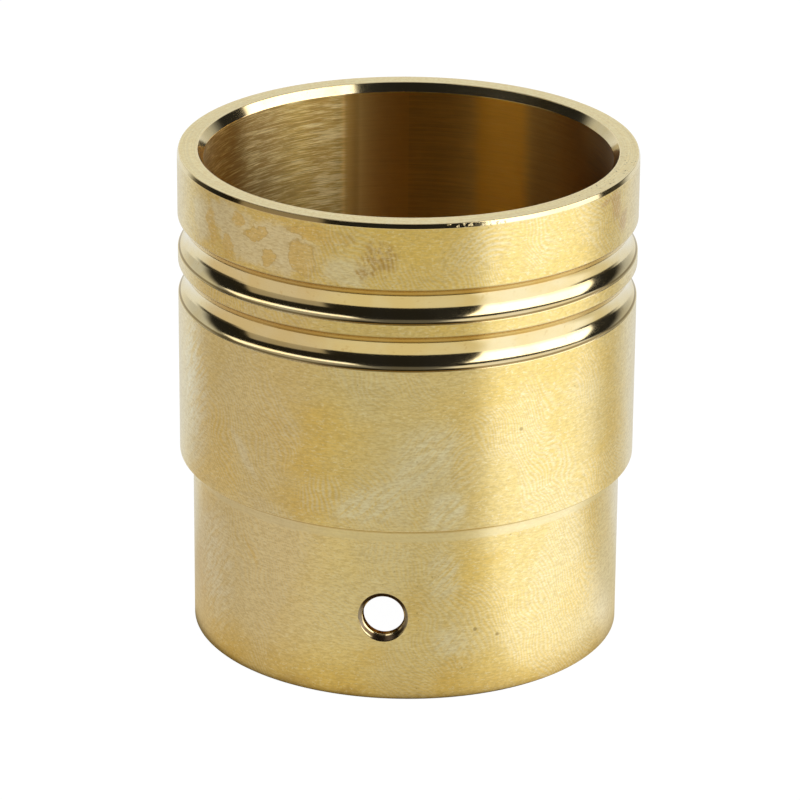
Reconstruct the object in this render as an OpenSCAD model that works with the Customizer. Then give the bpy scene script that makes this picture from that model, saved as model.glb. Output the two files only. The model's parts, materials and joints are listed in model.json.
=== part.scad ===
// Turned brass cylinder sleeve.
// A tube with a plain through bore, two rounded ring grooves near its
// mouth, a stepped-down lower end and one small drilled cross hole.
// Millimetres. +Z is the axis of the bore, towards the mouth. The origin
// is the centre of the bottom face. The cross hole is on the -Y side.

/* [Body] */
// Outer diameter of the main band and of the band above the grooves
outer_d = 51; // [50:0.5:60]
// Diameter of the plain through bore
bore_d = 45.2; // [40:0.1:45.4]
// Overall length, from the bottom face to the rim
sleeve_len = 55.8; // [52:0.2:80]

/* [Mouth] */
// Radial width of the lead-in chamfer at the mouth of the bore
mouth_chamfer_w = 0.65; // [0.3:0.05:0.9]
// Depth of the lead-in chamfer at the mouth of the bore
mouth_chamfer_h = 0.95; // [0.3:0.05:1.5]
// Radial width of the steep chamfer on the outer edge of the rim
rim_chamfer_w = 0.15; // [0.1:0.05:0.8]
// Height of the chamfer on the outer edge of the rim
rim_chamfer_h = 0.5; // [0.1:0.05:0.8]

/* [Ring grooves] */
// Width of each groove where it opens on the outer surface
groove_w = 3.9; // [2:0.1:4.2]
// Depth of each groove at its middle
groove_depth = 1.1; // [0.4:0.05:1.3]
// Height of the middle of the upper groove above the bottom face
groove_top_z = 46.43; // [45.5:0.01:48]
// Distance between the middles of the two grooves
groove_pitch = 5.31; // [4.6:0.01:7]

/* [Stepped end] */
// Outer diameter of the stepped-down lower end
step_d = 48; // [47:0.1:49.5]
// Length of the stepped-down lower end, up to the shoulder
step_len = 20.5; // [16:0.1:32]
// Size of the chamfer on the inner edge of the bottom face
foot_chamfer = 0.4; // [0.1:0.05:0.5]
// Size of the small broken edge on the outer corners
edge_break = 0.15; // [0.05:0.05:0.3]

/* [Cross hole] */
// Diameter of the cross hole
hole_d = 4.5; // [2:0.1:6]
// Height of the hole's axis above the bottom face
hole_z = 9.8; // [6:0.1:11]
// Depth of the 45 degree countersink around the hole
hole_countersink = 0.6; // [0.1:0.05:0.65]

/* [Hidden] */
// the bodies below are round to well under a tenth of a millimetre
$fn = 240;
outer_r = outer_d / 2;
bore_r = bore_d / 2;
step_r = step_d / 2;
// radius of the circle whose arc is cut as each groove
groove_arc_r = (groove_w * groove_w / 4 + groove_depth * groove_depth) / (2 * groove_depth);
// distance from the axis to that circle's centre
groove_arc_x = outer_r - groove_depth + groove_arc_r;
groove_zs = [groove_top_z, groove_top_z - groove_pitch];

// Half section of the tube, drawn in the plane of radius and height.
module half_section() {
    difference() {
        polygon([
            [bore_r + foot_chamfer, 0],
            [step_r - edge_break, 0],
            [step_r, edge_break],
            [step_r, step_len],
            [outer_r - edge_break, step_len],
            [outer_r, step_len + edge_break],
            [outer_r, sleeve_len - rim_chamfer_h],
            [outer_r - rim_chamfer_w, sleeve_len],
            [bore_r + mouth_chamfer_w, sleeve_len],
            [bore_r, sleeve_len - mouth_chamfer_h],
            [bore_r, foot_chamfer]
        ]);
        for (z = groove_zs)
            translate([groove_arc_x, z]) circle(r = groove_arc_r);
    }
}

// The drill and the countersink that open the hole through one wall.
module cross_hole_tool() {
    translate([0, 0, hole_z]) rotate([90, 0, 0]) {
        translate([0, 0, bore_r / 2])
            cylinder(h = outer_r, r = hole_d / 2, $fn = 96);
        translate([0, 0, step_r - hole_countersink])
            cylinder(h = 2, r1 = hole_d / 2, r2 = hole_d / 2 + 2, $fn = 96);
    }
}

// The whole object: one piece of turned brass.
module cylinder_sleeve() {
    color([0.80, 0.66, 0.36])
    difference() {
        rotate_extrude() half_section();
        cross_hole_tool();
    }
}

cylinder_sleeve();
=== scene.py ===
import json
import math

import bpy
import numpy as np
from mathutils import Matrix, Vector


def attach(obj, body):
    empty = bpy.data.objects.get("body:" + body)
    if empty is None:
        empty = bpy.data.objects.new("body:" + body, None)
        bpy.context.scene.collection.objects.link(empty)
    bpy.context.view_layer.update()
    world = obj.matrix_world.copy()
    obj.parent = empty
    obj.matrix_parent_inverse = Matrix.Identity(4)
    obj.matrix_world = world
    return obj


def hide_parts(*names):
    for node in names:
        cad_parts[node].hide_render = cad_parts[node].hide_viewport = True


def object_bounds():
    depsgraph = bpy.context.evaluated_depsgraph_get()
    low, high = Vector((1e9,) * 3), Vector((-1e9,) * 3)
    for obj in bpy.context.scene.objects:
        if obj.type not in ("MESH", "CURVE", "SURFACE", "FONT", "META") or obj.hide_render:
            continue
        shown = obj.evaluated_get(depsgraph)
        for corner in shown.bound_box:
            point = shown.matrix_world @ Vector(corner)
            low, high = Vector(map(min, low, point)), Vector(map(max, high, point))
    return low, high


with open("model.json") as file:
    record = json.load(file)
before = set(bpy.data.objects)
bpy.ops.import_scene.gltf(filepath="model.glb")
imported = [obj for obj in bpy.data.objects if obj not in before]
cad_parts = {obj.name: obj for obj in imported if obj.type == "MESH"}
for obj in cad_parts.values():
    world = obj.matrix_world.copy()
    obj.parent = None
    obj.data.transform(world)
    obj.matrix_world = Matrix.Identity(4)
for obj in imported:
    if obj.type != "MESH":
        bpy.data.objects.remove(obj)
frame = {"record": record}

scene = bpy.context.scene
lo0, hi0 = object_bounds()

# ----------------------------------------------------------------------------
# Sizes, in millimetres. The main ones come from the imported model.
# ----------------------------------------------------------------------------
mounts = {m["name"]: m for m in frame["record"]["mounts"]}
R = hi0.x * 1000.0
LEN = hi0.z * 1000.0
RB = mounts["main_bore"]["dims"]["r_mm"]
RS = mounts["step_end"]["dims"]["r_mm"]
HOLE_R = mounts["cross_hole"]["dims"]["r_mm"]
HOLE_Z = mounts["cross_hole"]["pos_m"][2] * 1000.0
STEP = mounts["shoulder_face"]["pos_m"][2] * 1000.0
MOUTH_W, MOUTH_H = 0.65, 0.95
RIM_CW, RIM_CH = 0.15, 0.5
FOOT_C = 0.4
BREAK = 0.15
SINK = 0.6  # depth of the countersink
SINK_W = 0.6  # and how much wider than the hole it opens
G_W, G_D = 3.9, 1.1
G_Z = [41.12, 46.43]
G_R = (G_W * G_W / 4 + G_D * G_D) / (2 * G_D)
G_X = R - G_D + G_R
G_A = math.asin(G_W / 2 / G_R)

N = 512  # segments round the axis
BAND, POLISH, BORE, RIM, FACE = range(5)


# ----------------------------------------------------------------------------
# The half section: primitives in travel order, the metal on the left.
# Each corner is blended by a small curve, so every point has one true normal.
# ----------------------------------------------------------------------------
def line(a, b, zone, cuts=1, at=None):
    """A straight piece from a to b. cuts is how many parts it has; at gives exact z values instead."""
    return {"kind": "line", "a": np.array(a, float), "b": np.array(b, float), "zone": zone, "cuts": cuts, "at": at}


def arc(cx, cz, r, a0, a1, zone, cuts):
    return {"kind": "arc", "c": (cx, cz), "r": r, "a0": a0, "a1": a1, "zone": zone, "cuts": cuts}


def ends(p):
    if p["kind"] == "line":
        return p["a"], p["b"]
    f = lambda t: np.array([p["c"][0] - p["r"] * math.cos(t), p["c"][1] + p["r"] * math.sin(t)])
    return f(p["a0"]), f(p["a1"])


HALF = 14  # half the columns of the square patch round the cross hole
STEP_U = 2 * math.pi / N
h_out = RS * STEP_U * HALF
h_in = RB * STEP_U * HALF


def patch_rows(h):
    return [HOLE_Z - h + k * h / HALF for k in range(2 * HALF + 1)]


def rows_between(a, b, step):
    n = max(1, int(round(abs(b - a) / step)))
    return [a + (b - a) * k / n for k in range(1, n)]


out_rows = rows_between(0.3, HOLE_Z - h_out, 0.9) + patch_rows(h_out) + rows_between(HOLE_Z + h_out, STEP - 0.2, 0.9)
in_rows = (rows_between(FOOT_C + 0.1, HOLE_Z - h_in, 0.9) + patch_rows(h_in) + rows_between(HOLE_Z + h_in, LEN - MOUTH_H - 0.1, 0.9))[::-1]

prims = [
    line((RB + FOOT_C, 0), (RS - BREAK, 0), FACE),
    line((RS - BREAK, 0), (RS, BREAK), POLISH),
    line((RS, BREAK), (RS, STEP), BAND, at=out_rows),
    line((RS, STEP), (R - BREAK, STEP), FACE),
    line((R - BREAK, STEP), (R, STEP + BREAK), POLISH),
    line((R, STEP + BREAK), (R, G_Z[0] - G_W / 2), BAND, cuts=20),
    arc(G_X, G_Z[0], G_R, -G_A, G_A, POLISH, 40),
    line((R, G_Z[0] + G_W / 2), (R, G_Z[1] - G_W / 2), BAND, cuts=3),
    arc(G_X, G_Z[1], G_R, -G_A, G_A, POLISH, 40),
    line((R, G_Z[1] + G_W / 2), (R, LEN - RIM_CH), BAND, cuts=8),
    line((R, LEN - RIM_CH), (R - RIM_CW, LEN), POLISH),
    line((R - RIM_CW, LEN), (RB + MOUTH_W, LEN), RIM, cuts=3),
    line((RB + MOUTH_W, LEN), (RB, LEN - MOUTH_H), POLISH),
    line((RB, LEN - MOUTH_H), (RB, FOOT_C), BORE, at=in_rows),
    line((RB, FOOT_C), (RB + FOOT_C, 0), POLISH),
]
# how far each corner's blend reaches along its two sides: the corner after primitive i
reach = [0.04, 0.04, 0.10, 0.04, 0.04, 0.05, 0.10, 0.05, 0.10, 0.05, 0.10, 0.07, 0.05, 0.08, 0.05]


def walk(p, s):
    """Point and outward normal a distance s along a primitive (from its far end if s < 0)."""
    if p["kind"] == "line":
        d = p["b"] - p["a"]
        n = np.linalg.norm(d)
        t = d / n
        q = (p["a"] + t * s) if s >= 0 else (p["b"] + t * s)
        return q, np.array([t[1], -t[0]])
    a = p["a0"] + s / p["r"] if s >= 0 else p["a1"] + s / p["r"]
    q = np.array([p["c"][0] - p["r"] * math.cos(a), p["c"][1] + p["r"] * math.sin(a)])
    return q, np.array([math.cos(a), -math.sin(a)])


prof = []  # (r, z, nr, nz)
zones = []  # the zone of the face from point k to point k + 1
count = len(prims)
for i, p in enumerate(prims):
    t0, t1 = reach[i - 1], reach[i]
    q, n = walk(p, t0)
    prof.append((*q, *n))
    if p["kind"] == "line":
        length = float(np.linalg.norm(p["b"] - p["a"]))
        if p["at"] is not None:
            stops = [abs(z - p["a"][1]) for z in p["at"]]
        else:
            stops = [t0 + (length - t0 - t1) * k / p["cuts"] for k in range(1, p["cuts"])]
    else:
        length = p["r"] * (p["a1"] - p["a0"])
        stops = [t0 + (length - t0 - t1) * k / p["cuts"] for k in range(1, p["cuts"])]
    for s in stops:
        q, n = walk(p, s)
        prof.append((*q, *n))
        zones.append(p["zone"])
    a, na = walk(p, -t1)
    prof.append((*a, *na))
    zones.append(p["zone"])
    nxt = prims[(i + 1) % count]
    b, nb = walk(nxt, t1)
    c = ends(p)[1]
    steps = 4
    zone = POLISH if p["zone"] != nxt["zone"] or p["zone"] == POLISH else p["zone"]
    for k in range(1, steps):
        s = k / steps
        q = (1 - s) ** 2 * a + 2 * s * (1 - s) * c + s * s * b
        d = 2 * (1 - s) * (c - a) + 2 * s * (b - c)
        d /= np.linalg.norm(d)
        prof.append((*q, d[1], -d[0]))
        zones.append(zone)
    zones.append(zone)
prof = np.array(prof)
M = len(prof)

# ----------------------------------------------------------------------------
# The mesh: the section turned round the axis, with a square patch left open
# in both walls and filled with rings that run down to the cross hole.
# ----------------------------------------------------------------------------
verts, norms, faces, mats = [], [], [], []
for k in range(M):
    r, z, nr, nz = prof[k]
    for i in range(N):
        t = -math.pi / 2 + STEP_U * i
        verts.append((r * math.cos(t), r * math.sin(t), z))
        norms.append((nr * math.cos(t), nr * math.sin(t), nz))


def vid(k, i):
    return (k % M) * N + (i % N)


def row_at(r, z):
    d = np.abs(prof[:, 0] - r) + np.abs(prof[:, 1] - z)
    return int(np.argmin(d))


o_lo, o_hi = row_at(RS, HOLE_Z - h_out), row_at(RS, HOLE_Z + h_out)
i_lo, i_hi = row_at(RB, HOLE_Z - h_in), row_at(RB, HOLE_Z + h_in)
for k in range(M):
    outer_patch = o_lo <= k < o_hi
    inner_patch = min(i_lo, i_hi) <= k < max(i_lo, i_hi)
    for i in range(N):
        ii = i if i < N // 2 else i - N
        if (outer_patch or inner_patch) and -HALF <= ii < HALF:
            continue
        faces.append((vid(k, i), vid(k, i + 1), vid(k + 1, i + 1), vid(k + 1, i)))
        mats.append(zones[k])


def perimeter(k_low, k_high):
    """Grid vertices round the open square, with their offsets from the hole's axis, counter-clockwise from the right."""
    up = 1 if k_high > k_low else -1
    ks = list(range(k_low, k_high + up, up))
    out = []
    for k in ks[HALF:]:
        out.append((k, HALF))
    for i in range(HALF - 1, -HALF - 1, -1):
        out.append((ks[-1], i))
    for k in ks[-2::-1]:
        out.append((k, -HALF))
    for i in range(-HALF + 1, HALF + 1):
        out.append((ks[0], i))
    for k in ks[1:HALF]:
        out.append((k, HALF))
    return out


def add(p, n):
    n = np.array(n, float)
    n /= np.linalg.norm(n)
    verts.append(tuple(float(v) for v in p))
    norms.append(tuple(float(v) for v in n))
    return len(verts) - 1


def on_wall(rad, x, z, sign):
    y = -math.sqrt(rad * rad - x * x)
    return (x, y, z), (sign * x / rad, sign * y / rad, 0.0)


def patch(k_low, k_high, rad, sign, ring_r, pad, zone):
    """Fills the open square in a wall down to a ring pad outside ring_r(angle). Returns the ring's vertices and angles."""
    edge = perimeter(k_low, k_high)
    rings = 9
    rows = []
    angles = []
    for k, i in edge:
        u = i * STEP_U * rad
        dz = prof[k][1] - HOLE_Z
        al = math.atan2(dz, u)
        angles.append(al)
        rr = ring_r(al) + pad
        x0 = rr * math.cos(al)
        u0, z0 = rad * math.asin(x0 / rad), rr * math.sin(al)
        col = []
        for j in range(rings):
            s = (j / rings) ** 1.35
            uu, zz = u0 + (u - u0) * s, z0 + (dz - z0) * s
            p, n = on_wall(rad, rad * math.sin(uu / rad), HOLE_Z + zz, sign)
            col.append(add(p, n))
        col.append(vid(k, i))
        rows.append(col)
    n = len(rows)
    for a in range(n):
        b = (a + 1) % n
        for j in range(rings):
            q = (rows[a][j], rows[a][j + 1], rows[b][j + 1], rows[b][j])
            faces.append(q if sign > 0 else q[::-1])
            mats.append(zone)
    return [c[0] for c in rows], angles


def sunk_r(al):
    """Radius where the countersink meets the outer wall, at angle al round the hole."""
    r = HOLE_R + SINK_W
    for _ in range(40):
        r = HOLE_R + (math.sqrt(RS * RS - (r * math.cos(al)) ** 2) - (RS - SINK)) * SINK_W / SINK
    return r


pad = 0.05
ring_o, ang = patch(o_lo, o_hi, RS, 1.0, sunk_r, pad, BAND)
ring_i, ang_i = patch(i_lo, i_hi, RB, -1.0, lambda al: HOLE_R, 0.04, BORE)


def skin(ra, rb, zone):
    n = len(ra)
    for a in range(n):
        b = (a + 1) % n
        faces.append((ra[a], ra[b], rb[b], rb[a]))
        mats.append(zone)


def hole_ring(kind):
    out = []
    for al in ang:
        c, s = math.cos(al), math.sin(al)
        rs = sunk_r(al)
        cone_n = np.array([-c * SINK, -SINK_W, -s * SINK]) / math.hypot(SINK, SINK_W)
        thr_n = np.array([-c, 0.0, -s])
        if kind == "lip":
            (px, py, pz), wn = on_wall(RS, rs * c, HOLE_Z + rs * s, 1.0)
            (qx, qy, qz), _ = on_wall(RS, (rs + pad) * c, HOLE_Z + (rs + pad) * s, 1.0)
            d = pad
            cone = np.array([(rs - d) * c, py + d * SINK / SINK_W, HOLE_Z + (rs - d) * s])
            p = 0.25 * np.array([qx, qy, qz]) + 0.5 * np.array([px, py, pz]) + 0.25 * cone
            out.append(add(p, np.array(wn) + cone_n))
        elif kind == "cone_top":
            (px, py, pz), wn = on_wall(RS, rs * c, HOLE_Z + rs * s, 1.0)
            d = pad
            out.append(add(((rs - d) * c, py + d * SINK / SINK_W, HOLE_Z + (rs - d) * s), cone_n))
        elif kind == "cone_low":
            d = 0.04
            out.append(add(((HOLE_R + d) * c, -(RS - SINK) - d * SINK / SINK_W, HOLE_Z + (HOLE_R + d) * s), cone_n))
        elif kind == "neck":
            out.append(add((HOLE_R * c * 1.004, -(RS - SINK) - 0.004, HOLE_Z + HOLE_R * s * 1.004), cone_n + thr_n))
        elif kind == "throat_out":
            out.append(add((HOLE_R * c, -(RS - SINK) + 0.04, HOLE_Z + HOLE_R * s), thr_n))
        elif kind == "throat_in":
            y = -math.sqrt(RB * RB - (HOLE_R * c) ** 2)
            out.append(add((HOLE_R * c, y - 0.04, HOLE_Z + HOLE_R * s), thr_n))
        elif kind == "inner_lip":
            (px, py, pz), wn = on_wall(RB, (HOLE_R + 0.012) * c, HOLE_Z + (HOLE_R + 0.012) * s, -1.0)
            out.append(add((px, py - 0.008, pz), np.array(wn) + thr_n))
    return out


chain = [ring_o] + [hole_ring(k) for k in ("lip", "cone_top", "cone_low", "neck", "throat_out", "throat_in", "inner_lip")]
for a, b in zip(chain, chain[1:]):
    skin(a, b, POLISH)
# The inner wall's ring runs through angles of its own, so it is matched to the throat by angle.
order_o = list(np.argsort([a % (2 * math.pi) for a in ang]))
order_i = list(np.argsort([a % (2 * math.pi) for a in ang_i]))
match = {order_o[k]: ring_i[order_i[k]] for k in range(len(ang))}
skin(chain[-1], [match[k] for k in range(len(ang))], POLISH)

mesh = bpy.data.meshes.new("sleeve_body")
mesh.from_pydata([(x / 1000, y / 1000, z / 1000) for x, y, z in verts], [], faces)
mesh.polygons.foreach_set("material_index", mats)
mesh.polygons.foreach_set("use_smooth", [True] * len(mesh.polygons))
mesh.update()
mesh.normals_split_custom_set_from_vertices(norms)
sleeve = bpy.data.objects.new("sleeve_body", mesh)
scene.collection.objects.link(sleeve)
mesh.validate(clean_customdata=False)


# ----------------------------------------------------------------------------
# Small helpers to write shader maths as expressions
# ----------------------------------------------------------------------------
class V:
    """A shader value: a socket or a plain number, with arithmetic."""

    def __init__(self, tree, s):
        self.t, self.s = tree, s

    def _op(self, op, other=None, third=None, flip=False, clamp=False):
        n = self.t.nodes.new("ShaderNodeMath")
        n.operation = op
        n.use_clamp = clamp
        args = [self, other] if not flip else [other, self]
        if third is not None:
            args.append(third)
        for k, a in enumerate(args):
            if a is None:
                continue
            s = a.s if isinstance(a, V) else a
            if isinstance(s, (int, float)):
                n.inputs[k].default_value = s
            else:
                self.t.links.new(s, n.inputs[k])
        return V(self.t, n.outputs[0])

    def __add__(self, o):
        return self._op("ADD", o)

    def __radd__(self, o):
        return self._op("ADD", o)

    def __sub__(self, o):
        return self._op("SUBTRACT", o)

    def __rsub__(self, o):
        return self._op("SUBTRACT", o, flip=True)

    def __mul__(self, o):
        return self._op("MULTIPLY", o)

    def __rmul__(self, o):
        return self._op("MULTIPLY", o)

    def __truediv__(self, o):
        return self._op("DIVIDE", o)

    def __neg__(self):
        return self._op("MULTIPLY", -1.0)

    def abs(self):
        return self._op("ABSOLUTE")

    def sin(self):
        return self._op("SINE")

    def sqrt(self):
        return self._op("SQRT")

    def min(self, o):
        return self._op("MINIMUM", o)

    def max(self, o):
        return self._op("MAXIMUM", o)

    def pow(self, o):
        return self._op("POWER", o)

    def atan2(self, o):
        return self._op("ARCTAN2", o)

    def asin(self):
        return self._op("ARCSINE")

    def clamp(self):
        return self._op("MULTIPLY", 1.0, clamp=True)

    def step(self, a, b, lo=0.0, hi=1.0, kind="SMOOTHSTEP"):
        """lo below a, hi above b, smooth between."""
        n = self.t.nodes.new("ShaderNodeMapRange")
        n.interpolation_type = kind
        n.clamp = True
        self.t.links.new(self.s, n.inputs["Value"])
        if a <= b:
            vals = (a, b, lo, hi)
        else:
            vals = (b, a, hi, lo)
        for name, v in zip(("From Min", "From Max", "To Min", "To Max"), vals):
            n.inputs[name].default_value = v
        return V(self.t, n.outputs["Result"])


def noise(tree, vec, scale, detail=2.0, rough=0.5, distort=0.0, colour=False, kind="FBM", lac=2.0):
    n = tree.nodes.new("ShaderNodeTexNoise")
    n.noise_dimensions = "3D"
    n.noise_type = kind
    n.normalize = True
    tree.links.new(vec, n.inputs["Vector"])
    n.inputs["Scale"].default_value = scale
    n.inputs["Detail"].default_value = detail
    n.inputs["Roughness"].default_value = rough
    n.inputs["Lacunarity"].default_value = lac
    n.inputs["Distortion"].default_value = distort
    return V(tree, n.outputs["Color" if colour else "Fac"])


def combine(tree, x, y, z):
    n = tree.nodes.new("ShaderNodeCombineXYZ")
    for k, a in enumerate((x, y, z)):
        s = a.s if isinstance(a, V) else a
        if isinstance(s, (int, float)):
            n.inputs[k].default_value = s
        else:
            tree.links.new(s, n.inputs[k])
    return n.outputs[0]


def mix(tree, fac, a, b, blend="MIX"):
    """Colour mix; a and b are sockets or (r, g, b)."""
    n = tree.nodes.new("ShaderNodeMix")
    n.data_type = "RGBA"
    n.blend_type = blend
    n.clamp_factor = True
    f = fac.s if isinstance(fac, V) else fac
    if isinstance(f, (int, float)):
        n.inputs[0].default_value = f
    else:
        tree.links.new(f, n.inputs[0])
    for k, c in ((6, a), (7, b)):
        if isinstance(c, (tuple, list)):
            n.inputs[k].default_value = (*c[:3], 1.0)
        else:
            tree.links.new(c, n.inputs[k])
    return n.outputs[2]


# ----------------------------------------------------------------------------
# Camera
# ----------------------------------------------------------------------------
CAM_AZ = 5.69
E, DIST, F_PX, TX, TZ, ROLL = 21.5924, 513.361, 4570.73, -0.7336, 25.7875, 0.4524
cam_data = bpy.data.cameras.new("camera")
cam = bpy.data.objects.new("camera", cam_data)
scene.collection.objects.link(cam)
cam_data.sensor_width = 36.0
cam_data.lens = F_PX / 800.0 * 36.0
turn = Matrix.Rotation(math.radians(CAM_AZ), 3, "Z")
eye = turn @ Vector((0, -DIST * math.cos(math.radians(E)), 28.0 + DIST * math.sin(math.radians(E))))
aim = turn @ Vector((TX, 0, TZ))
q = (aim - eye).to_track_quat("-Z", "Y")
cam.rotation_mode = "QUATERNION"
cam.rotation_quaternion = q @ Matrix.Rotation(math.radians(ROLL), 3, "Z").to_quaternion()
cam.location = eye / 1000.0
cam_data.clip_start, cam_data.clip_end = 0.01, 20.0
scene.camera = cam
scene.view_settings.view_transform = "Standard"
scene.view_settings.look = "None"

# ----------------------------------------------------------------------------
# Studio surroundings, as the world: a pale backdrop, a large soft box on the
# right, a weaker one on the left, a strip above and a dark room in front.
# ----------------------------------------------------------------------------
world = bpy.data.worlds.new("studio")
scene.world = world
world.use_nodes = True
wt = world.node_tree
wt.nodes.clear()
tc = wt.nodes.new("ShaderNodeTexCoord")
sep = wt.nodes.new("ShaderNodeSeparateXYZ")
wt.links.new(tc.outputs["Generated"], sep.inputs[0])
wx, wy, wz = (V(wt, sep.outputs[k]) for k in range(3))
ca, sa = math.cos(math.radians(CAM_AZ)), math.sin(math.radians(CAM_AZ))
front = wx * sa - wy * ca  # towards the camera
right = wx * ca + wy * sa
az = right.atan2(front) * (180 / math.pi)
el = wz.max(-1.0).min(1.0).asin() * (180 / math.pi)


def window(v, a, b, soft):
    return v.step(a - soft / 2, a + soft / 2) * v.step(b + soft / 2, b - soft / 2)


FLOOR_FRONT = (0.76, 0.72, 0.55)
FLOOR_LEFT = (0.68, 0.62, 0.52)
FLOOR_RIGHT = (1.18, 1.22, 1.26)
FLOOR_REAR = (0.86, 0.90, 0.93)
FLOOR_NEAR = (0.74, 0.62, 0.36)
FLOOR_INSIDE_SHADE = (0.052, 0.024, 0.006)
back_l = az.step(-116, -128) * az.step(-134, -158, 0.62, 0.92)
back_r = az.step(128, 142) * az.step(140, 160, 0.55, 0.92)
back = (back_l + back_r) * el.step(44, 30)
soft_r = az.step(36.0, 39.5) * (az - el * 0.15).step(107, 103) * (el + az * 0.22).step(60, 57) * el.step(-42, -38)
panel_l = window(az, -88, -42, 4) * window(el, -40, 21, 4) * el.step(12, -5, 0.36, 0.42)
# the ceiling: lit on the right above a dark gap, dimly on the left and in front
ceil_r = (el + az * 0.35).step(76.5, 80.0) * az.step(28, 52) * az.step(139, 134) * el.step(76, 71)
ceil_l = (el - az * 0.288 - 71.2).step(3.0, 6.5) * window(az, -128, -30, 10) * el.step(80, 60)
ceil_f = window(el, 63, 82, 5) * window(az, -45, 45, 20)
strip_l = window(az, -118, -38, 8) * window(el - (az * 0.288 + 71.2), -4.5, 4.5, 3.0)
ceil_b = az.abs().step(100, 128) * el.step(58, 67)
level = 0.016 + back + ceil_b * 0.85 + soft_r * el.step(2, 14, 1.75, 2.60) + panel_l + (strip_l * 1.6).max(ceil_l * 0.36) + ceil_r * 0.95 + ceil_f * 0.10
bg = wt.nodes.new("ShaderNodeBackground")
wcol = mix(wt, back.step(0.0, 0.5), (1.0, 1.0, 1.02), (0.93, 0.97, 1.0))
wcol = mix(wt, window(az, -100, -30, 10) * el.step(46, 38), wcol, (1.0, 0.91, 0.74))
wt.links.new(wcol, bg.inputs["Color"])
wt.links.new(level.s, bg.inputs["Strength"])
# the room itself stays out of the picture: behind the paper the camera sees more paper
paper = wt.nodes.new("ShaderNodeBackground")
paper.inputs["Color"].default_value = (1, 1, 1, 1)
paper.inputs["Strength"].default_value = 1.0
wlp = wt.nodes.new("ShaderNodeLightPath")
wmix = wt.nodes.new("ShaderNodeMixShader")
wt.links.new(wlp.outputs["Is Camera Ray"], wmix.inputs[0])
wt.links.new(bg.outputs[0], wmix.inputs[1])
wt.links.new(paper.outputs[0], wmix.inputs[2])
wout = wt.nodes.new("ShaderNodeOutputWorld")
wt.links.new(wmix.outputs[0], wout.inputs["Surface"])

# ----------------------------------------------------------------------------
# Floor
# ----------------------------------------------------------------------------
floor_mesh = bpy.data.meshes.new("floor")
s = 3.0
floor_mesh.from_pydata([(-s, -s, 0), (s, -s, 0), (s, s, 0), (-s, s, 0)], [], [(0, 1, 2, 3)])
floor = bpy.data.objects.new("floor", floor_mesh)
floor.location.z = -0.00005
scene.collection.objects.link(floor)
fm = bpy.data.materials.new("floor_pale")
fm.use_nodes = True
ft = fm.node_tree
ft.nodes.clear()
ftc = ft.nodes.new("ShaderNodeTexCoord")
fsp = ft.nodes.new("ShaderNodeSeparateXYZ")
ft.links.new(ftc.outputs["Object"], fsp.inputs[0])
fx, fy = V(ft, fsp.outputs[0]) * 1000.0, V(ft, fsp.outputs[1]) * 1000.0
f_front = fx * sa - fy * ca
f_right = fx * ca + fy * sa
faz = f_right.atan2(f_front) * (180 / math.pi)
frad = (fx * fx + fy * fy).sqrt()
# paper: lit warm and low in front, cool and strong by the soft box on the right
pool = faz.step(31, 42) * (faz + frad.step(115, 55) * 9).step(111, 91) * frad.step(24, 30)
rear = faz.abs().step(112, 132)
left = window(faz, -125, -40, 30)
fcol = mix(ft, left, FLOOR_FRONT, FLOOR_LEFT)
fcol = mix(ft, rear, fcol, FLOOR_REAR)
fcol = mix(ft, pool, fcol, FLOOR_RIGHT)
# the light that the brass throws back tints the paper close to it
fcol = mix(ft, frad.step(34, 23) * (pool * -0.6 + 1.0) * faz.abs().step(125, 90, 0.35, 1.0) * 0.75, fcol, FLOOR_NEAR)
# painted contact shadow: a dark ring on the paper round the sleeve's foot, weaker on the right
fcol = mix(ft, frad.step(25.4, 24.3) * (faz.step(25, 45) * faz.step(110, 95) * -0.55 + 0.9), fcol, (0.08, 0.055, 0.02))
# painted shade on the paper inside the bore, where little light reaches it
fcol = mix(ft, frad.step(24.0, 23.5), fcol, FLOOR_INSIDE_SHADE)
# where the paper ends at both sides
fcol = mix(ft, window(faz.abs(), 92, 128, 14) * frad.step(280, 420), fcol, (0.05, 0.045, 0.035))
fe = ft.nodes.new("ShaderNodeEmission")
ft.links.new(fcol, fe.inputs["Color"])
fe.inputs["Strength"].default_value = 1.0
fd = ft.nodes.new("ShaderNodeBsdfDiffuse")
fd.inputs["Color"].default_value = (0.06, 0.06, 0.06, 1)
fe2 = ft.nodes.new("ShaderNodeEmission")
fe2.inputs["Color"].default_value = (1, 1, 1, 1)
fe2.inputs["Strength"].default_value = 0.99
fa = ft.nodes.new("ShaderNodeAddShader")
ft.links.new(fd.outputs[0], fa.inputs[0])
ft.links.new(fe2.outputs[0], fa.inputs[1])
lp = ft.nodes.new("ShaderNodeLightPath")
fmix = ft.nodes.new("ShaderNodeMixShader")
ft.links.new(lp.outputs["Is Camera Ray"], fmix.inputs[0])
ft.links.new(fe.outputs[0], fmix.inputs[1])
ft.links.new(fa.outputs[0], fmix.inputs[2])
fo = ft.nodes.new("ShaderNodeOutputMaterial")
ft.links.new(fmix.outputs[0], fo.inputs["Surface"])
floor_mesh.materials.append(fm)


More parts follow.
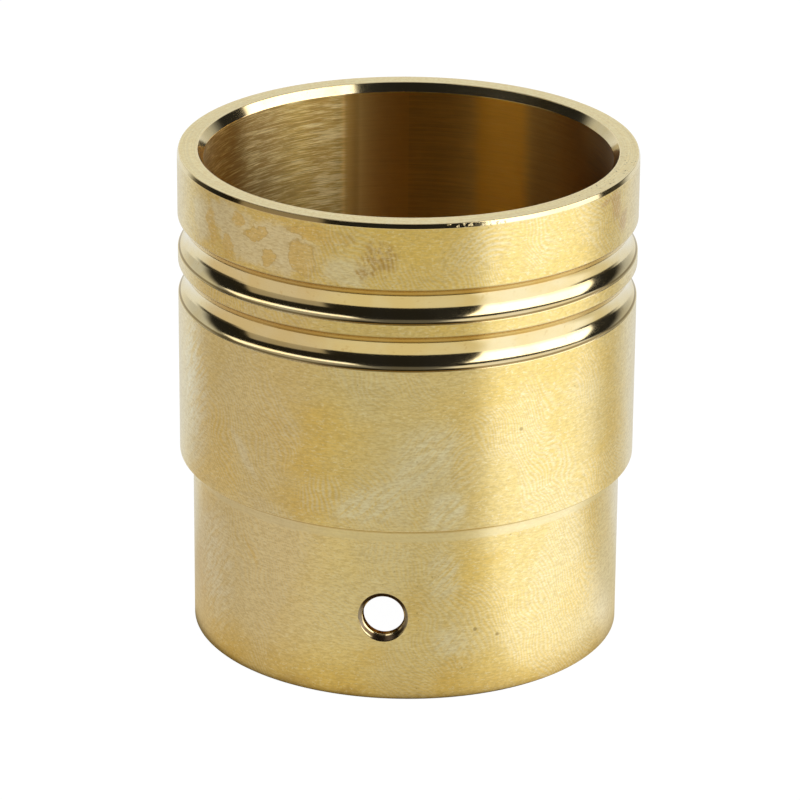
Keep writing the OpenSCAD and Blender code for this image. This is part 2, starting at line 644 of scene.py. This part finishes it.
# ----------------------------------------------------------------------------
# Brass
# ----------------------------------------------------------------------------
def start(name):
    m = bpy.data.materials.new(name)
    m.use_nodes = True
    t = m.node_tree
    t.nodes.clear()
    out = t.nodes.new("ShaderNodeOutputMaterial")
    b = t.nodes.new("ShaderNodeBsdfPrincipled")
    t.links.new(b.outputs[0], out.inputs["Surface"])
    b.inputs["Metallic"].default_value = 1.0
    tcn = t.nodes.new("ShaderNodeTexCoord")
    sc = t.nodes.new("ShaderNodeVectorMath")
    sc.operation = "SCALE"
    sc.inputs["Scale"].default_value = 1000.0
    t.links.new(tcn.outputs["Object"], sc.inputs[0])
    sp = t.nodes.new("ShaderNodeSeparateXYZ")
    t.links.new(sc.outputs[0], sp.inputs[0])
    x, y, z = (V(t, sp.outputs[k]) for k in range(3))
    return m, t, b, sc.outputs[0], x, y, z


def bump(t, height, dist_mm, strength, normal=None):
    n = t.nodes.new("ShaderNodeBump")
    n.inputs["Strength"].default_value = strength
    n.inputs["Distance"].default_value = dist_mm / 1000.0
    t.links.new(height.s, n.inputs["Height"])
    if normal is not None:
        t.links.new(normal, n.inputs["Normal"])
    return n.outputs[0]


def lathe_tangent(t, b):
    n = t.nodes.new("ShaderNodeTangent")
    n.direction_type = "RADIAL"
    n.axis = "Z"
    t.links.new(n.outputs[0], b.inputs["Tangent"])


PALE = (0.84, 0.70, 0.37)
GOLD = (0.86, 0.63, 0.20)
AMBER = (0.81, 0.56, 0.15)
BROWN = (0.56, 0.36, 0.10)
CLOUD = (0.86, 0.75, 0.47)


def polar(t, x, y, z):
    """Angle from the hole side towards +X, in degrees, and the same as mm round a 25 mm wall."""
    f = x * sa - y * ca
    r = x * ca + y * sa
    deg = r.atan2(f) * (180 / math.pi)
    return deg, deg * 0.4363


class Field:
    """Places soft marks on the unrolled wall: s is mm round it, z is mm up it."""

    def __init__(self, t, s, z, warp):
        self.t = t
        sp = t.nodes.new("ShaderNodeSeparateXYZ")
        t.links.new(warp, sp.inputs[0])
        self.s = s + (V(t, sp.outputs[0]) - 0.5) * 2.6
        self.z = z + (V(t, sp.outputs[1]) - 0.5) * 2.6
        self.s0, self.z0 = s, z

    def blob(self, deg, z, ws, wz, rot=0.0, soft=0.35):
        c, s_ = math.cos(math.radians(rot)), math.sin(math.radians(rot))
        ds, dz = self.s - deg * 0.4363, self.z - z
        u = (ds * c + dz * s_) * (1 / ws)
        v = (dz * c - ds * s_) * (1 / wz)
        return (u * u + v * v).sqrt().step(1 + soft, 1 - soft)

    def ring(self, deg, z, ws, wz, rot=0.0, width=0.1):
        """The thin outline of a blob."""
        c, s_ = math.cos(math.radians(rot)), math.sin(math.radians(rot))
        ds, dz = self.s - deg * 0.4363, self.z - z
        u = (ds * c + dz * s_) * (1 / ws)
        v = (dz * c - ds * s_) * (1 / wz)
        return ((u * u + v * v).sqrt() - 1.0).abs().step(width, width * 0.2)

    def ridges(self, rot, pitch, bend):
        """Skin-print lines: a sine across direction rot, bent by a slow noise."""
        c, s_ = math.cos(math.radians(rot)), math.sin(math.radians(rot))
        w = (self.s0 * c + self.z0 * s_) + bend
        return (w * (2 * math.pi / pitch)).sin() * 0.5 + 0.5

    def whorl(self, deg, z, pitch, bend):
        ds, dz = self.s0 - deg * 0.4363, self.z0 - z
        w = (ds * ds * 0.7 + dz * dz).sqrt() + bend
        return (w * (2 * math.pi / pitch)).sin() * 0.5 + 0.5


def band_material():
    m, t, b, P, x, y, z = start("brass_satin")
    deg, s = polar(t, x, y, z)
    warp = noise(t, P, 0.55, 3, 0.6, colour=True)
    f = Field(t, s, z, warp.s)
    big = noise(t, P, 0.10, 2, 0.5, 0.3)
    mid = noise(t, P, 0.26, 3, 0.5, 0.9)
    fine = noise(t, P, 1.5, 3, 0.65)
    grit = noise(t, combine(t, x * 1.5, y * 1.5, z * 5.2), 1.0, 2, 0.7)
    speck = noise(t, combine(t, x * 1.9, y * 1.9, z * 4.6), 1.0, 3, 0.8)
    bend = (noise(t, P, 0.13, 2, 0.4) - 0.5) * 6.0

    c = mix(t, big.step(0.36, 0.62) * 0.65, GOLD, PALE)
    c = mix(t, z.step(STEP + 20, STEP + 28) * 0.60, c, (0.87, 0.64, 0.19))
    c = mix(t, window(z, STEP, 39.5, 2) * window(deg, -14, 16, 16) * 0.34, c, CLOUD)
    c = mix(t, window(deg, 18, 50, 10) * z.step(STEP + 20, STEP + 26, 0.34, 0.60), c, (0.90, 0.68, 0.22))
    c = mix(t, z.step(6.5, 1.0) * 0.30, c, GOLD)
    # paler towards both sides: a painted sheen at the edges
    c = mix(t, deg.abs().step(56, 78) * 0.40, c, (0.90, 0.80, 0.58))
    # darker on the left of the lower section: painted shade
    c = mix(t, window(deg, -90, -30, 24) * z.step(STEP, STEP - 4) * 0.30, c, (0.62, 0.44, 0.16))
    # lighter on the front left of the lower section: painted light
    c = mix(t, window(z, 4, STEP, 6) * window(deg, -52, 0, 20) * 0.70, c, (0.96, 0.81, 0.46))
    # paler on the right edge of the lower section: painted sheen
    c = mix(t, deg.step(58, 74) * deg.step(150, 110) * z.step(STEP, STEP - 1) * 0.45, c, (0.97, 0.90, 0.72))
    # dried water marks: a rounded patch with a thin darker edge
    mark = mid.step(0.545, 0.565)
    edge = mid.step(0.53, 0.548) * mid.step(0.575, 0.553)
    aged = f.blob(-32, 51.6, 13, 3.4, 0, 0.5) * 0.8 + 0.12
    c = mix(t, mark * aged * 0.36, c, AMBER)
    c = mix(t, edge * aged * 0.30, c, BROWN)

    wipe = noise(t, combine(t, (s + z) * 0.30, (z - s) * 1.9, z * 0.01), 1.0, 3, 0.6)

    def tone(c, spots, colour, amount, wiped=False):
        total = None
        for sp in spots:
            v = f.blob(*sp)
            total = v if total is None else total.max(v)
        if wiped:
            total = total * wipe.step(0.40, 0.58, 0.15, 1.0)
        return mix(t, total * amount, c, colour)

    # upper band, left: a pale dried film with sharp-edged golden islands in it
    c = tone(c, [(-50, 53.4, 4.0, 1.7, 8, 0.22), (-45, 50.9, 3.4, 1.7, -12, 0.22), (-33, 51.6, 4.4, 2.9, 0, 0.2), (-14.5, 50.2, 2.6, 1.7, 0, 0.3), (-61, 51.8, 2.0, 2.4, 0, 0.4)], (0.90, 0.80, 0.54), 0.80)
    isles = [(-39.5, 52.6, 1.9, 0.75, 12, 0.10), (-26.4, 50.9, 1.35, 1.9, 0, 0.06), (-22, 53.9, 3.4, 0.7, -4, 0.14), (-35.5, 50.0, 1.0, 0.8, 20, 0.10), (-56, 51.6, 0.9, 2.2, 10, 0.2), (-49.5, 50.2, 0.9, 1.2, 30, 0.14), (-45.5, 53.8, 0.8, 1.0, -20, 0.14)]
    c = tone(c, isles, (0.83, 0.57, 0.16), 0.72)
    for dd, dz, ws, wz, rot, soft in isles[:4]:
        ring = f.ring(dd, dz, ws * 1.02, wz * 1.02, rot, 0.13)
        c = mix(t, ring * 0.50, c, (0.58, 0.38, 0.11))
    smudge = f.blob(-7.0, 51.9, 1.7, 1.7, -30, 0.5).max(f.blob(-9.5, 50.2, 1.2, 0.8, 0, 0.5))
    c = mix(t, smudge * 0.25, c, (0.66, 0.42, 0.11))
    c = mix(t, smudge * fine.step(0.42, 0.54) * 0.78, c, (0.46, 0.25, 0.05))
    # upper band, right
    c = tone(c, [(62, 53.6, 1.0, 1.8, 15), (66, 51.0, 1.1, 1.2, 0), (57, 54.6, 1.2, 0.5, 0)], (0.58, 0.31, 0.13), 0.62)
    # main band
    c = tone(c, [(-9, 23.4, 3.8, 2.1, 20, 0.5), (5, 29.4, 2.8, 3.4, -30, 0.5), (9.5, 22.8, 2.5, 2.0, 40, 0.4), (0, 26.2, 4.4, 1.9, 42, 0.5), (-66, 32, 3.0, 9.0, 0, 0.6)], (0.93, 0.86, 0.64), 0.95, True)
    c = tone(c, [(-44, 27.0, 3.2, 0.6, -48, 0.4)], (0.92, 0.85, 0.64), 0.5)
    c = tone(c, [(4.2, 24.2, 0.50, 3.2, -16, 0.3), (7.4, 30.6, 0.5, 0.7, 0, 0.4), (14.5, 27.6, 1.3, 2.2, -30, 0.5), (-24, 22.8, 2.6, 1.4, 20, 0.6), (-14, 21.2, 1.8, 0.6, 0, 0.4), (-36, 30.5, 2.6, 1.8, 30, 0.7)], AMBER, 0.46, True)
    c = tone(c, [(-20.2, 32.2, 0.45, 1.8, -8, 0.8), (-39, 21.6, 2.0, 0.7, -20, 0.6)], BROWN, 0.14)
    # lower section
    c = tone(c, [(10.0, 14.8, 1.9, 2.8, 0, 0.45), (12, 6.6, 2.0, 1.6, 0, 0.5), (-62, 10, 4.0, 7.0, 0, 0.6)], (0.90, 0.82, 0.60), 0.85, True)
    c = tone(c, [(23.5, 16.3, 1.7, 0.8, 10, 0.5), (3.0, 11.0, 1.3, 2.2, 0, 0.7), (13, 3.4, 2.6, 1.4, 25, 0.5), (-45, 14.5, 0.5, 2.0, 40, 0.5), (-8, 5.0, 2.4, 1.3, 0, 0.6)], AMBER, 0.48)
    c = tone(c, [(-30, 0.7, 2.2, 0.7, 0, 0.6), (-15, 0.5, 1.6, 0.4, 0, 0.6)], BROWN, 0.40)
    # skin prints
    prints = f.blob(17, 52.6, 4.0, 2.4, 20, 0.5) * f.whorl(24, 49.6, 0.50, bend * 0.6)
    prints = prints.max(f.blob(-4, 24.4, 6.2, 4.0, 35, 0.4) * f.ridges(38, 0.50, bend))
    prints = prints.max(f.blob(-5, 17.6, 3.4, 1.5, 0, 0.4) * f.ridges(-12, 0.50, bend * 0.4))
    prints = prints.max(f.blob(-36, 20.6, 3.4, 1.6, -20, 0.5) * f.ridges(20, 0.46, bend * 0.5))
    prints = prints.max(f.blob(-14, 10.5, 6.0, 3.2, 20, 0.5) * f.ridges(55, 0.50, bend) * 0.7)
    prints = prints.max(f.blob(64, 23.5, 3.0, 2.8, 0, 0.5) * f.ridges(40, 0.48, bend))
    prints = prints.max(f.blob(64, 7.0, 3.6, 3.6, 0, 0.5) * f.ridges(-35, 0.48, bend) * 0.8)
    prints = prints.max(f.blob(8, 28.6, 4.4, 4.6, -20, 0.4) * f.ridges(-28, 0.46, bend) * 0.9)
    prints = prints.max(f.blob(-20, 24.0, 3.0, 2.4, 0, 0.4) * f.ridges(8, 0.46, bend))
    prints = prints.max(noise(t, P, 0.085, 1, 0.5).step(0.47, 0.56) * f.ridges(30, 0.46, bend * 1.3) * 0.7)
    prints = prints * fine.step(0.22, 0.55)
    c = mix(t, prints * 0.58, c, (0.95, 0.88, 0.67))
    c = mix(t, fine.step(0.35, 0.70) * 0.13, c, (0.64, 0.45, 0.14))
    c = mix(t, fine.step(0.62, 0.35) * 0.10, c, (0.95, 0.86, 0.58))
    c = mix(t, grit.step(0.42, 0.62) * 0.34, c, (0.54, 0.39, 0.15))
    c = mix(t, speck.step(0.54, 0.66) * 0.50, c, (0.98, 0.90, 0.66))
    # a paler strip under the shoulder
    c = mix(t, z.step(STEP - 1.9, STEP - 1.5) * z.step(STEP + 0.05, STEP - 0.05) * 0.6, c, CLOUD)
    # painted shade: a dark line along the top of the lower wall, under the shoulder
    c = mix(t, window(z, STEP - 0.72, STEP + 0.05, 0.10) * 0.40, c, BROWN)
    lines = noise(t, combine(t, x * 0.05, y * 0.05, z * 4.2), 1.0, 4, 0.7)
    c = mix(t, lines.step(0.62, 0.36) * 0.12, c, (0.55, 0.40, 0.14))
    # specks
    dust = noise(t, P, 3.1, 0, 0.5)
    c = mix(t, dust.step(0.83, 0.88) * 0.45, c, (0.36, 0.24, 0.08))
    for dd, dz in ((18.7, 8.0), (25.0, 7.0), (29.0, 31.5)):
        dot = ((s - dd * 0.4363).pow(2) + (z - dz).pow(2)).sqrt()
        c = mix(t, dot.step(0.30, 0.12) * 0.6, c, (0.30, 0.20, 0.07))
    t.links.new(c, b.inputs["Base Color"])

    rough = 0.330 + (big - 0.5) * 0.10 + (mid - 0.5) * 0.08 + prints * 0.05 + (grit - 0.5) * 0.05
    t.links.new(rough.s, b.inputs["Roughness"])
    b.inputs["Anisotropic"].default_value = 0.72
    b.inputs["Anisotropic Rotation"].default_value = 0.25
    lathe_tangent(t, b)
    sway = noise(t, P, 0.20, 2, 0.5)
    n = bump(t, sway, 0.060, 0.5)
    n = bump(t, lines + prints * 0.35 + grit * 0.25, 0.0030, 0.5, n)
    t.links.new(n, b.inputs["Normal"])
    return m


LIP_A, LIP_B, LIP_C = 1.70, 1.28, 1.05


def polish_material():
    m, t, b, P, x, y, z = start("brass_polished")
    big = noise(t, P, 0.25, 3, 0.5, 0.4)
    spots = noise(t, P, 1.6, 2, 0.6)
    c = mix(t, big.step(0.35, 0.65), (0.84, 0.66, 0.33), (0.85, 0.70, 0.40))
    c = mix(t, spots.step(0.62, 0.72) * 0.35, c, (0.72, 0.50, 0.20))
    # painted shade in each groove under its upper lip, fading towards the sides, a painted dark line at its lower lip,
    # and painted shade under the shoulder's edge
    deg, s = polar(t, x, y, z)
    lip_shade_fade = deg.step(12, 32, 1.0, 0.45) * deg.step(-52, -30, 0.55, 1.0)
    for gz in G_Z:
        u = z - gz
        c = mix(t, window(u, LIP_C, 2.2, 0.10) * lip_shade_fade * 0.42, c, (0.36, 0.26, 0.09))
        c = mix(t, window(u, LIP_A, 2.2, 0.10) * lip_shade_fade * 0.48, c, (0.34, 0.24, 0.07))
        c = mix(t, window(u, LIP_C, LIP_B, 0.08) * lip_shade_fade * 0.48, c, (0.34, 0.24, 0.07))
        # painted dark line at the groove's lower lip
        c = mix(t, window(u, -1.90, -1.76, 0.06) * 0.75, c, (0.22, 0.13, 0.02))
    # painted shade on the rim's outer chamfer, front left, darkening its reflection to brown
    c = mix(t, window(deg, -52, -18, 10) * z.step(LEN - 0.56, LEN - 0.50) * 0.55, c, (0.42, 0.27, 0.09))
    # painted shade under the shoulder's edge
    c = mix(t, window(z, STEP - 0.2, STEP + 0.16, 0.06) * 0.55, c, (0.30, 0.20, 0.06))
    # painted shade in the countersink, greyer on its left and right, with painted highlight arcs left bright at its
    # lower left and lower right
    rho = (x * x + (z - HOLE_Z).pow(2)).sqrt() + (spots - 0.5) * 0.12
    sunk = window(rho, HOLE_R + 0.13, 3.6, 0.10) * y.step(-20, -22)
    turn = (z - HOLE_Z).atan2(x) * (180 / math.pi)
    clear = window(turn, -172, -118, 10).max(window(turn, -52, -22, 10) * 0.7) * (rho - HOLE_R).step(0.36, 0.44)
    flank = (turn.abs() - 90).abs().step(50, 78) * y.step(-20, -22)
    c = mix(t, sunk * (clear * -0.8 + 0.93), c, (0.055, 0.028, 0.015))
    c = mix(t, sunk * flank * (clear * -1.0 + 1.0) * 0.85, c, (0.50, 0.42, 0.31))
    # knocks along the rim's outer chamfer
    knock = window(deg, 9.5, 25, 3) * window(z, LEN - 0.56, LEN - 0.02, 0.06) * y.step(0, -5)
    dent = noise(t, P, 1.9, 3, 0.7)
    c = mix(t, knock * dent.step(0.62, 0.66) * 0.8, c, (0.98, 0.90, 0.66))
    t.links.new(c, b.inputs["Base Color"])
    rough = 0.085 + big * 0.05 + sunk * (flank * 0.35 + 0.15) + knock * dent.step(0.60, 0.66) * 0.30
    t.links.new(rough.s, b.inputs["Roughness"])
    lines = noise(t, combine(t, x * 0.04, y * 0.04, z * 11.0), 1.0, 2, 0.6)
    n = bump(t, noise(t, P, 0.5, 2, 0.5), 0.012, 0.5)
    n = bump(t, knock * dent.step(0.55, 0.70), 0.10, 0.7, n)
    n = bump(t, lines, 0.0012, 0.4, n)
    t.links.new(n, b.inputs["Normal"])
    return m


def bore_material():
    m, t, b, P, x, y, z = start("brass_bore")
    lines = noise(t, combine(t, x * 0.11, y * 0.11, z * 4.2), 1.0, 4, 0.75)
    strokes = noise(t, combine(t, x * 0.36, y * 0.36, z * 9.5), 1.0, 3, 0.7)
    broad = noise(t, combine(t, x * 0.22, y * 0.22, z * 1.5), 1.0, 3, 0.6)
    deg, s = polar(t, x, y, z)
    # the bore's colour is painted by angle round the axis as light and shade: a different tone on the left half,
    # painted highlights on the back wall from -180 to -164 degrees, a bright painted streak at 143 to 160 degrees,
    # painted shade from -140 to -60 and from 60 to 143 degrees (darkest from about 60 to 108), and darker painted
    # lines between -165 and -149 degrees
    left = deg.step(0, -1) * deg.abs().step(162.5, 159.5)
    lit_streak = window(deg, 143.5, 160, 5)
    lit_back_wall = window(deg.abs(), 160, 200, 3)
    c = mix(t, left, (0.90, 0.53, 0.125), (0.73, 0.515, 0.155))
    c = mix(t, left * window(deg, -164, -149, 6) * 0.75, c, (0.52, 0.33, 0.09))
    c = mix(t, lit_back_wall * deg.step(-180, -170, 0.0, 1.0) * deg.step(0, -1) * 0.8, c, (1.0, 0.64, 0.18))
    c = mix(t, window(deg, -140, -60, 16) * 0.70, c, (0.38, 0.26, 0.12))
    c = mix(t, window(deg, 60, 143, 10) * 0.50, c, (0.40, 0.20, 0.05))
    c = mix(t, deg.step(130, 108) * deg.step(40, 60) * 0.8, c, (0.12, 0.06, 0.02))
    c = mix(t, window(deg, -165.5, -161.0, 1.2) * 0.55, c, (0.45, 0.24, 0.05))
    c = mix(t, deg.step(-180, -168, 0.0, 1.0) * deg.step(-164.0, -166.0) * 0.6, c, (1.0, 0.70, 0.23))
    c = mix(t, lit_streak * 0.95, c, (1.0, 0.53, 0.07))
    lit_areas = lit_streak.max(lit_back_wall * deg.step(0, -1))
    c = mix(t, lines.step(0.3, 0.7) * (lit_areas * -0.30 + 0.42), c, (0.50, 0.28, 0.07))
    c = mix(t, broad.step(0.50, 0.64) * (left * 0.45), c, (0.98, 0.82, 0.42))
    c = mix(t, broad.step(0.50, 0.38) * (left * 0.40), c, (0.42, 0.27, 0.09))
    c = mix(t, strokes.step(0.52, 0.62) * (left * 0.50 + 0.05), c, (1.0, 0.86, 0.40))
    c = mix(t, strokes.step(0.49, 0.40) * (left * 0.45 + 0.06), c, (0.34, 0.22, 0.06))
    t.links.new(c, b.inputs["Base Color"])
    rough = 0.43 + (lines - 0.5) * 0.2
    t.links.new(rough.s, b.inputs["Roughness"])
    b.inputs["Anisotropic"].default_value = 0.95
    b.inputs["Anisotropic Rotation"].default_value = 0.25
    lathe_tangent(t, b)
    n = bump(t, lines + strokes * 0.35, 0.010, 0.7)
    t.links.new(n, b.inputs["Normal"])
    return m


def face_material(name, rough0):
    m, t, b, P, x, y, z = start(name)
    deg, s = polar(t, x, y, z)
    rad = (x * x + y * y).sqrt()
    lines = noise(t, combine(t, x * 0.05, y * 0.05, rad * 6.0), 1.0, 3, 0.6)
    grain = noise(t, P, 3.0, 3, 0.75)
    c = mix(t, grain.step(0.32, 0.70), (0.86, 0.66, 0.28), (0.99, 0.85, 0.48))
    c = mix(t, lines.step(0.60, 0.40) * 0.25, c, (0.62, 0.48, 0.24))
    nick = noise(t, P, 3.2, 2, 0.6).step(0.62, 0.70)
    worn = window(deg, 48, 84, 14)
    c = mix(t, nick * (worn * 0.8 + 0.15), c, (0.22, 0.15, 0.06))
    t.links.new(c, b.inputs["Base Color"])
    rough = rough0 + (grain - 0.5) * 0.2
    t.links.new(rough.s, b.inputs["Roughness"])
    n = bump(t, lines + grain * 0.6, 0.006, 0.5)
    t.links.new(n, b.inputs["Normal"])
    return m


for mat in (band_material(), polish_material(), bore_material(), face_material("brass_rim", 0.32), face_material("brass_faced", 0.36)):
    mesh.materials.append(mat)

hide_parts("cylinder_sleeve")
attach(sleeve, "root")

bpy.context.view_layer.update()
